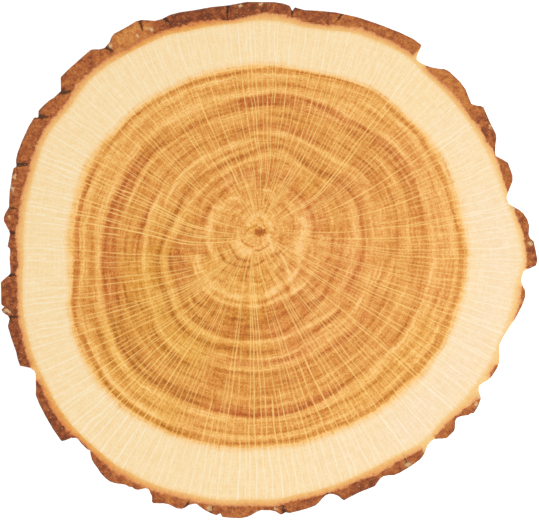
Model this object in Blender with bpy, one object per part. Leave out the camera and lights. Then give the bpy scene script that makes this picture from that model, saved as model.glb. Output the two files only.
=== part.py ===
"""A round slice of an oak trunk with its bark on, sawn flat above and below.

One solid, because wood and bark grew as one piece. It lies flat, +Z up, with its origin in
the middle of the underside. The upper cut has the trunk's outline: thick plates of bark with
furrows between them, some of them down to the wood. Below it each plate and furrow leans
sideways and swells or thins on its way to the lower cut, as bark does along a trunk.
"""

import math
import random

import bmesh
import bpy
from mathutils import Vector, noise

MM = 0.001

# Driving dimensions, in mm
THICKNESS = 25.0
ROW_HEIGHTS = (0.0, 3.0, 6.5, 10.0, 13.5, 17.0, 20.5, 23.0, THICKNESS)
LONGEST_STEP = 3.0  # along the outline, between neighbouring columns of corners
LEAN = 3.5  # furthest that a furrow drifts sideways between the upper and the lower cut
LEAN_WAVES = ((2, 0.4), (5, 2.1), (9, 4.0))  # waves round the trunk, and where each starts
PLATE_THINNING = (-0.3, 1.0)  # least and most that a plate has thinned at the lower cut
RIDGE_HEIGHT = 2.4  # of the long low ridges on the face of a plate, above the dips between
RIDGE_WIDTH = 7.0
RIDGE_LENGTH = 30.0
RIDGE_START = 5.0  # below the upper cut, where the ridges reach their full height
CROSS_CRACK_DEPTH = 1.5
CROSS_CRACK_SHARE = 0.5  # of the plates that a crack crosses
FURROW_DEPTH = 4.0  # from a plate's face to the bottom of an ordinary furrow
SEED = 11

# The outer edge of the bark at the upper cut, anticlockwise from +X. Each row is one plate,
# from the furrow before it to its far corner, as (degrees, mm from the middle).
BARK_PLATES = (
    ((357.6, 127.3), (358.2, 130.5), (358.8, 133.3), (0.0, 134.0), (2.0, 133.2), (4.0, 132.5), (4.8, 130.7)),
    ((5.6, 130.2), (7.5, 131.0), (9.0, 130.5), (10.5, 129.0), (11.5, 127.0), (12.4, 124.7), (13.3, 122.8)),
    ((14.2, 122.2), (15.2, 123.0), (17.0, 126.0), (18.0, 127.8), (19.2, 128.7), (22.2, 128.8), (23.3, 127.0)),
    ((24.7, 124.5), (25.5, 125.0), (27.0, 126.8), (28.2, 128.8), (29.2, 129.6), (32.0, 130.0), (35.5, 131.5),
     (36.1, 130.8), (36.7, 129.2)),
    ((37.7, 127.6), (39.5, 128.8), (41.0, 130.0), (43.0, 130.5), (46.4, 130.3), (47.5, 129.5), (48.6, 127.6),
     (50.0, 125.8), (51.5, 124.6)),
    ((52.8, 124.1), (53.8, 124.4), (54.3, 126.5), (54.6, 131.7), (57.0, 131.9), (60.0, 131.2), (65.0, 130.0),
     (70.0, 129.2), (75.0, 128.2), (79.0, 127.0), (82.0, 126.2), (84.3, 127.0)),
    ((84.8, 124.9), (85.4, 127.5), (87.0, 128.5), (89.0, 129.0), (95.0, 129.6), (99.0, 129.0), (103.0, 129.8),
     (106.5, 130.4), (110.0, 131.8), (112.0, 132.3)),
    ((114.2, 132.0), (115.6, 132.6), (117.0, 134.6), (118.0, 136.0), (119.2, 136.8), (121.5, 136.7),
     (124.5, 137.3), (125.4, 136.6), (126.3, 135.1)),
    ((127.9, 134.3), (129.0, 135.5), (129.7, 137.0), (130.4, 138.0), (134.0, 138.2), (136.8, 138.6),
     (138.8, 138.8), (139.5, 137.3), (140.2, 135.8)),
    ((141.0, 134.2), (143.0, 135.0), (144.2, 136.1), (146.0, 137.1), (147.2, 137.5), (147.9, 136.4)),
    ((148.4, 135.8), (148.8, 137.6), (151.0, 137.7), (154.5, 137.3), (157.0, 136.9), (158.5, 136.3)),
    ((159.7, 134.9), (160.3, 136.0), (162.0, 135.5), (163.6, 134.8), (165.2, 134.4), (167.0, 133.6)),
    ((168.6, 132.9), (169.7, 134.0), (170.9, 134.6), (171.7, 134.2), (172.6, 132.7), (173.6, 131.0)),
    ((174.3, 130.4), (176.2, 130.9), (177.0, 131.1), (177.5, 130.0), (178.2, 129.7), (179.5, 130.0)),
    ((182.9, 129.6), (183.5, 131.0), (184.0, 132.7), (184.7, 134.8), (187.0, 135.2), (189.4, 136.0)),
    ((190.0, 134.7), (190.5, 136.3), (191.2, 135.8), (192.0, 133.8)),
    ((192.7, 133.2), (193.3, 133.9), (194.2, 135.0), (197.0, 134.9), (200.0, 134.8), (201.6, 135.4),
     (203.0, 135.5), (203.5, 133.7), (204.3, 131.2)),
    ((205.3, 129.9), (206.1, 130.1), (207.2, 131.4), (208.7, 133.1), (210.0, 135.0), (212.0, 135.8),
     (215.0, 136.6), (218.0, 137.4), (221.1, 138.0), (221.5, 136.0), (222.0, 132.4)),
    ((222.8, 131.1), (224.5, 131.4), (226.0, 131.4), (226.7, 130.8)),
    ((227.3, 132.0), (228.3, 133.6), (229.4, 134.5), (230.6, 135.1), (231.6, 136.0), (233.0, 136.5),
     (234.2, 136.6), (235.4, 135.7), (237.3, 133.5), (238.3, 133.4), (238.8, 132.7), (239.6, 133.0),
     (240.3, 132.3)),
    ((241.5, 129.8), (242.4, 129.7), (243.0, 131.1), (243.6, 132.0), (244.0, 134.2), (244.4, 134.9),
     (245.4, 133.9), (246.4, 132.8), (247.5, 132.2), (249.6, 132.6), (250.6, 132.0), (251.2, 130.8),
     (251.7, 129.1), (252.5, 128.0)),
    ((253.2, 127.2), (254.3, 128.2), (255.6, 129.3), (257.0, 130.0), (258.3, 130.4)),
    ((259.0, 129.0), (259.6, 130.7), (261.5, 130.4), (263.6, 130.0), (265.0, 129.0), (266.0, 127.8),
     (267.0, 126.2)),
    ((268.0, 125.2), (270.2, 125.2), (271.4, 125.8), (272.3, 127.2), (272.8, 127.5)),
    ((273.6, 126.4), (274.5, 127.0), (276.5, 126.4), (278.5, 125.8), (280.5, 125.0), (281.5, 123.8),
     (282.5, 122.1), (283.5, 120.9)),
    ((284.3, 120.7), (285.3, 121.4), (286.2, 122.8), (286.8, 124.8), (287.2, 125.9), (288.5, 125.3),
     (291.0, 124.6), (295.0, 124.8), (295.9, 123.6), (296.8, 122.6)),
    ((297.8, 122.2), (299.0, 123.1), (300.0, 124.3), (301.5, 124.8), (304.5, 125.0), (307.0, 125.0),
     (308.5, 124.2), (309.5, 123.0), (310.4, 121.9)),
    ((311.6, 121.4), (312.5, 121.7), (313.3, 122.8), (314.1, 124.4), (314.9, 125.7), (317.3, 125.8),
     (318.1, 124.7), (319.0, 123.0)),
    ((319.8, 122.5), (320.6, 123.3), (321.3, 124.5), (322.0, 126.1), (322.7, 126.5), (323.1, 127.7),
     (325.0, 127.4), (326.8, 126.4), (327.5, 124.7), (328.2, 123.0)),
    ((329.0, 122.2), (330.2, 123.3), (331.2, 124.7), (332.5, 125.5), (334.5, 126.0), (336.0, 125.8),
     (337.2, 124.8), (338.5, 123.5)),
    ((339.8, 122.5), (341.6, 123.0), (343.5, 124.0), (345.0, 125.0), (346.5, 126.3), (348.5, 127.5),
     (350.0, 128.5), (352.0, 129.2), (353.3, 128.7), (354.2, 127.2), (355.1, 126.4), (356.1, 126.4)),
)

OAK_COLOUR = (0.78, 0.45, 0.16, 1.0)
OAK_ROUGHNESS = 0.6


def outline_corners():
    """(plate number, point) for every corner of the outline."""
    corners = []
    for plate, edge in enumerate(BARK_PLATES):
        for degrees, radius in edge:
            turn = math.radians(degrees)
            corners.append((plate, Vector((radius * math.cos(turn), radius * math.sin(turn)))))
    return corners


def with_short_steps(corners):
    """The same outline, with points added along its longer edges."""
    points = []
    for (plate, point), (_, after) in zip(corners, corners[1:] + corners[:1]):
        steps = math.ceil((after - point).length / LONGEST_STEP)
        for step in range(steps):
            points.append((plate, point.lerp(after, step / steps)))
    return points


def lean_at(turn):
    """How far, in mm, a furrow at this angle drifts on its way down the whole thickness."""
    waves = [math.sin(count * turn + start) for count, start in LEAN_WAVES]
    return LEAN * sum(waves) / len(waves)


def plate_relief(rng):
    """For one plate: how much it thins, and the row that a cross crack lies in, if any."""
    thinning = rng.uniform(*PLATE_THINNING)
    inner_rows = range(1, len(ROW_HEIGHTS) - 1)
    crack_row = rng.choice(inner_rows) if rng.random() < CROSS_CRACK_SHARE else None
    return thinning, crack_row


def crest_share(outline, here, reach=6.0):
    """1 on the face of a plate, falling to 0 at the bottom of a furrow."""
    near = [point.length for _, point in outline if (point - here).length < reach]
    depth = max(near) - here.length
    return max(0.0, 1.0 - depth / FURROW_DEPTH)


def dip(turn, radius, height):
    """How far the face of the bark lies back between two long low ridges."""
    start = min(1.0, (THICKNESS - height) / RIDGE_START)
    around = radius / RIDGE_WIDTH
    spot = Vector((around * math.cos(turn), around * math.sin(turn), height / RIDGE_LENGTH))
    return RIDGE_HEIGHT * start * (0.4 - noise.noise(spot))


def column(top, crest, thinning, crack_row):
    """The corner points below one point of the upper outline, lowest first."""
    radius = top.length
    turn = math.atan2(top.y, top.x)
    points = []
    for row, height in enumerate(ROW_HEIGHTS):
        depth = 1.0 - height / THICKNESS
        hollow = thinning * math.sin(depth * math.pi / 2) + dip(turn, radius, height)
        if row == crack_row:
            hollow += CROSS_CRACK_DEPTH
        reach = radius - hollow * crest
        lower_turn = turn + lean_at(turn) * depth / radius
        points.append(Vector((reach * math.cos(lower_turn), reach * math.sin(lower_turn), height)))
    return points


def middle_of(points):
    """The middle of the bounding box, seen from above."""
    xs = [point.x for point in points]
    ys = [point.y for point in points]
    return Vector(((min(xs) + max(xs)) / 2, (min(ys) + max(ys)) / 2, 0.0))


def wood_slice():
    outline = with_short_steps(outline_corners())
    rng = random.Random(SEED)
    relief = [plate_relief(rng) for _ in BARK_PLATES]
    standing = [column(top, crest_share(outline, top), *relief[plate]) for plate, top in outline]
    middle = middle_of([point for points in standing for point in points])
    solid = bmesh.new()
    columns = [[solid.verts.new((point - middle) * MM) for point in points] for points in standing]
    lower_middle = solid.verts.new((0.0, 0.0, 0.0))
    upper_middle = solid.verts.new((0.0, 0.0, THICKNESS * MM))
    for here, after in zip(columns, columns[1:] + columns[:1]):
        for row in range(len(ROW_HEIGHTS) - 1):
            solid.faces.new((here[row], after[row], after[row + 1], here[row + 1]))
        solid.faces.new((lower_middle, after[0], here[0]))
        solid.faces.new((upper_middle, here[-1], after[-1]))
    bmesh.ops.triangulate(solid, faces=[face for face in solid.faces if len(face.verts) == 4])
    mesh = bpy.data.meshes.new("wood_slice")
    solid.to_mesh(mesh)
    solid.free()
    return mesh


def oak():
    material = bpy.data.materials.new("oak")
    material.use_nodes = True
    shader = material.node_tree.nodes["Principled BSDF"]
    shader.inputs["Base Color"].default_value = OAK_COLOUR
    shader.inputs["Roughness"].default_value = OAK_ROUGHNESS
    return material


for old in list(bpy.data.objects):
    bpy.data.objects.remove(old)

slice_object = bpy.data.objects.new("wood_slice", wood_slice())
slice_object.data.materials.append(oak())
slice_object.data.shade_smooth()
slice_object.data.set_sharp_from_angle(angle=math.radians(35))
bpy.context.scene.collection.objects.link(slice_object)
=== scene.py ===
"""A round slice of an oak trunk with its bark on, lying on a white table and seen from above.

Lengths in the lists are millimetres, and directions are degrees anticlockwise from +X.
"""

import math

import bmesh
import bpy
import numpy as np
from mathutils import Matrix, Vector, noise
from mathutils.bvhtree import BVHTree


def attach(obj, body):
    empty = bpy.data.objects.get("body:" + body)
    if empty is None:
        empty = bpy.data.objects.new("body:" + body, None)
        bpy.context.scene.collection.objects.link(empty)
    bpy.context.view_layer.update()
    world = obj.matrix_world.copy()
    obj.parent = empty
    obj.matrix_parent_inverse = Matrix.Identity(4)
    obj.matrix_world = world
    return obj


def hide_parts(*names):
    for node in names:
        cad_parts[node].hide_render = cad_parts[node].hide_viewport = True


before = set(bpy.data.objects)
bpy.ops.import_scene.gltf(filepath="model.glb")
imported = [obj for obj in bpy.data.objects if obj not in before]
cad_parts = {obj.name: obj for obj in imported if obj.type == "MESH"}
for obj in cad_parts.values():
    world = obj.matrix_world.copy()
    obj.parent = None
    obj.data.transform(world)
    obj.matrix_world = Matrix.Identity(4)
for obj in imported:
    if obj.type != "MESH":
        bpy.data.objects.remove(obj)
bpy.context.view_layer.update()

MM = 0.001
TURN = 2 * math.pi
THICKNESS = 25
VIEW_WIDTH = 269.5  # of the picture, at the upper cut

TRUNK_MIDDLE = (0.17, 0.19)  # the bark's lines are read from here
RING_MIDDLE = (-6.08, 14.19)  # and the rings' lines from here
PITH = (-4.33, 14.19)

# Where the pale sapwood ends and the orange inner bark begins: degrees and mm
CAMBIUM = {
    0: 127, 5: 125.5, 10: 123.5, 14: 122.2, 17: 121.5, 25: 121.5, 30: 121.2, 45: 121.2, 50: 121,
    52: 121.8, 55: 122.8, 60: 122.5, 65: 121.5, 68: 121.5, 70: 120.8, 73: 119.8, 75: 118.5,
    80: 117.8, 82: 117.5, 85: 118.8, 90: 119.8, 95: 119.8, 98: 119.2, 102: 120, 105: 120.5,
    110: 121.5, 115: 123.8, 118: 123.8, 120: 124.2, 125: 125.2, 130: 126.5, 135: 127.2, 138: 126.5,
    140: 126, 143: 125.2, 145: 126, 148: 126.8, 152: 127.2, 155: 126.5, 157.5: 125.5, 160: 125.2,
    165: 124.5, 170: 124, 175: 123.5, 180: 122.8, 185: 124, 188: 124.5, 190: 125.5, 195: 126.2,
    200: 127, 203: 127.5, 210: 127.5, 212: 128.2, 215: 128.5, 220: 128.8, 225: 128.2, 228: 128,
    234: 128.2, 236: 127, 240: 126.8, 242: 126.2, 245: 125.5, 247: 125.2, 250: 123.8, 252: 123.5,
    255: 123, 258: 122.5, 260: 122, 262: 121.5, 263.5: 120.2, 266: 120, 270: 119.8, 273: 119.5,
    275: 118.5, 277: 117.8, 280: 117.8, 283: 117.2, 287: 117, 290: 116.5, 295: 116.2, 300: 116.2,
    303: 116.5, 305: 117.2, 308: 118.2, 310: 119, 313: 118.8, 315: 118, 317: 117.8, 320: 118.2,
    322: 119.2, 325: 119.8, 330: 120.8, 333: 121.5, 337: 122, 340: 122, 343: 122.8, 346: 123.2,
    350: 123.8, 354: 123.5, 356: 125, 358: 126.5,
}
# Where the inner bark ends and the brown outer bark begins; 140 where a furrow leaves no outer bark
INNER_BARK = {
    0: 128.8, 5: 127.8, 8: 126.5, 11: 125.2, 17: 123.8, 20: 124, 23: 124.5, 27: 124.8, 28.5: 123.8,
    30: 124.2, 34: 124, 36: 123.2, 38: 124, 42: 124.2, 45: 124.2, 47: 123.5, 50: 123.5, 51: 124.5,
    52: 140, 54: 140, 55: 125.5, 60: 125.2, 65: 124.8, 69: 124.5, 72: 123, 75: 121.5, 78: 120.5,
    81: 120.2, 83: 121, 85: 122, 87: 122.8, 91: 123.5, 95: 122.2, 99: 121.5, 100: 121.8, 103: 123.2,
    106: 124.2, 110: 125, 112: 125.5, 114: 126.2, 117: 126.8, 120: 127.8, 122: 127.2, 124: 127,
    125: 128, 127: 129, 129: 129.5, 134: 130, 139: 130, 141.5: 128.8, 144: 128.5, 145.5: 129.2,
    149: 130.2, 153: 130, 157: 129.2, 161: 128, 163: 127.8, 165: 128.2, 168: 127.8, 172: 127,
    173.5: 128.2, 175: 128, 177: 126.8, 178.5: 126, 180: 126, 181.3: 125.5, 182.5: 127.2,
    185: 126.8, 189: 127.8, 193: 129, 197: 129.5, 201: 130.5, 204: 130.8, 205: 140, 206.5: 140,
    207.5: 130.8, 210: 131, 212: 131.8, 214: 132.2, 220: 132.5, 221.8: 132, 223: 131, 226: 131,
    227.5: 131.2, 232: 131.2, 234: 131.8, 236: 131, 238: 130.8, 240: 130.2, 242.5: 129.8,
    245: 128.8, 246.5: 127.8, 249: 127.5, 251: 127, 253.3: 126.8, 256: 125.8, 258: 125.8,
    260: 125.2, 262: 124.5, 264: 124, 266: 123.5, 268: 123.2, 270: 123.5, 272: 123.2, 274: 122.2,
    275: 121.5, 277: 121, 281: 120.5, 284: 120.2, 288: 119.8, 292: 119, 294: 119.5, 296: 120,
    300: 120.2, 302: 119.8, 304: 120, 306: 120.5, 308: 121.2, 309: 121.8, 310: 140, 312.5: 140,
    313: 121.2, 317: 120.8, 319: 121, 320: 121.5, 321.5: 122.5, 323: 123, 324: 124, 325.5: 124.8,
    326.7: 125.8, 328: 140, 331: 140, 332: 125, 333: 124.2, 335: 124.8, 338: 140, 345: 140,
    346: 126, 348: 126.5, 350: 127.2, 354: 127, 355: 140, 357.5: 140, 358.2: 128.2,
}

# Three rings that show all the way round, from the inside: the outer edge of the darkest band,
# the last dark ring of the heartwood, and the edge of the heartwood itself
MIDDLE_RING = {
    0: 83.2, 10: 83, 20: 81.5, 30: 79, 35: 77, 40: 75, 45: 73.5, 50: 72.2, 60: 71, 70: 70, 80: 69.2,
    90: 67.5, 100: 66.5, 120: 68, 130: 68.8, 140: 70, 150: 71.5, 160: 71.8, 165: 73, 175: 74.5,
    180: 76, 190: 78.5, 200: 80.5, 205: 82.5, 210: 84.8, 215: 88, 220: 90.2, 225: 92, 240: 92,
    250: 91.2, 265: 92, 275: 92, 285: 91.5, 290: 90.2, 295: 88.8, 300: 87.8, 320: 87.2, 330: 87.8,
    340: 87.2, 350: 86, 355: 85.5,
}
LAST_DARK_RING = {
    0: 100, 10: 97.5, 20: 95.5, 30: 94.8, 35: 93.5, 40: 91.5, 48: 91.5, 55: 89, 60: 86.8, 65: 85,
    70: 83.5, 80: 82.2, 90: 81.2, 100: 80.8, 115: 81.2, 125: 82.2, 135: 83.8, 145: 84.8, 155: 86.8,
    165: 88, 175: 89.5, 180: 90.5, 185: 90, 190: 91.2, 195: 93.8, 200: 98, 205: 100, 210: 102,
    215: 103, 220: 105.2, 225: 107, 235: 108, 245: 107.8, 255: 107.2, 265: 106.5, 270: 105.5,
    285: 105, 290: 103.8, 300: 104.5, 315: 104, 325: 106, 335: 104.5, 340: 105.2, 350: 103.8,
    355: 102,
}
HEARTWOOD_EDGE = {
    0: 102.8, 10: 101.5, 20: 100, 30: 97.2, 40: 93.8, 45: 92.8, 50: 92, 55: 90.2, 60: 88, 65: 86,
    70: 85, 75: 84, 80: 83.5, 90: 83.5, 100: 83, 110: 82.8, 120: 83.5, 130: 85.2, 140: 86.5,
    150: 88.5, 155: 90.8, 160: 92.2, 170: 92.8, 175: 93.5, 180: 94.5, 185: 94.2, 190: 95, 195: 96.5,
    200: 100, 205: 102.8, 210: 104.8, 215: 107, 220: 108.5, 225: 109.5, 235: 110.2, 250: 109.5,
    260: 108.8, 270: 108, 280: 108, 290: 107, 300: 107.5, 310: 108, 320: 108.5, 330: 108.2,
    340: 107.5, 350: 106.5, 355: 105.5,
}
# A ring is called by its usual distance from the pith. These are the calls of the three above and
# of the cambium.
MIDDLE_CALL, LAST_DARK_CALL, HEARTWOOD_CALL, CAMBIUM_CALL = 79, 95, 98, 123

# How rings 30, 49 and 61 wander in and out beside the plain shape of the middle ring
RING_30 = {
    10: 26.8, 25: 27.6, 45: 29, 60: 31, 80: 33, 95: 34, 115: 33.2, 135: 32, 150: 31.2, 180: 30.3,
    205: 31.3, 225: 30.5, 245: 29.2, 265: 27.5, 285: 25.5, 305: 24.5, 325: 24, 345: 24.8,
}
RING_49 = {
    0: 49.2, 20: 49.5, 35: 48.5, 45: 46.3, 55: 46.8, 65: 48.3, 75: 50, 85: 49.3, 95: 47.5,
    105: 45.5, 115: 44, 125: 43.5, 140: 43.3, 155: 44.2, 168: 46.2, 178: 47, 188: 49.5, 196: 52.6,
    205: 51.7, 215: 49.8, 222: 51, 228: 52.4, 238: 53.2, 248: 53.7, 255: 52.2, 265: 51.6, 280: 51.2,
    300: 50.8, 315: 51, 325: 48.5, 335: 48.7, 345: 49.2,
}
RING_61 = {
    0: 61.5, 30: 61.3, 50: 59.3, 60: 58.3, 70: 59.5, 85: 61.3, 95: 62, 105: 60, 115: 58.8,
    125: 58.4, 150: 59.5, 165: 60, 180: 60.7, 190: 61.8, 205: 61.4, 215: 60.2, 222: 62.5, 230: 63.5,
    240: 64, 260: 62, 280: 61.2, 300: 61.3, 315: 62.2, 325: 61, 330: 59.2, 340: 60, 350: 60.6,
}

# How light the wood is at each ring, from the pith out: 0 is dark brown and 1 pale amber.
RING_TONES = {
    0: -0.05, 1.6: 0.1, 2.6: 0.5, 4: 0.74, 6: 0.8, 8: 0.8, 10: 0.79, 13: 0.62, 16: 0.54, 20: 0.6,
    24: 0.61, 27: 0.57, 30: 0.56, 34: 0.54, 38: 0.48, 41: 0.52, 45: 0.55, 47: 0.53, 49: 0.48,
    51: 0.55, 54: 0.61, 57: 0.67, 59: 0.61, 61: 0.5, 63: 0.5, 67: 0.5, 69.5: 0.58, 71: 0.57,
    73: 0.39, 75: 0.37, 77: 0.35, 79: 0.4, 80.3: 0.62, 82: 0.83, 83.5: 0.78, 85.5: 0.61, 88: 0.62,
    90: 0.67, 92: 0.85, 93.2: 0.73, 94.4: 0.55, 95.6: 0.56, 96.8: 0.86, 98: 1.02, 100: 1.1,
    125: 1.1,
}
LOWEST_TONE, TONE_SPAN, FURTHEST_RING = -0.2, 1.4, 125
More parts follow.
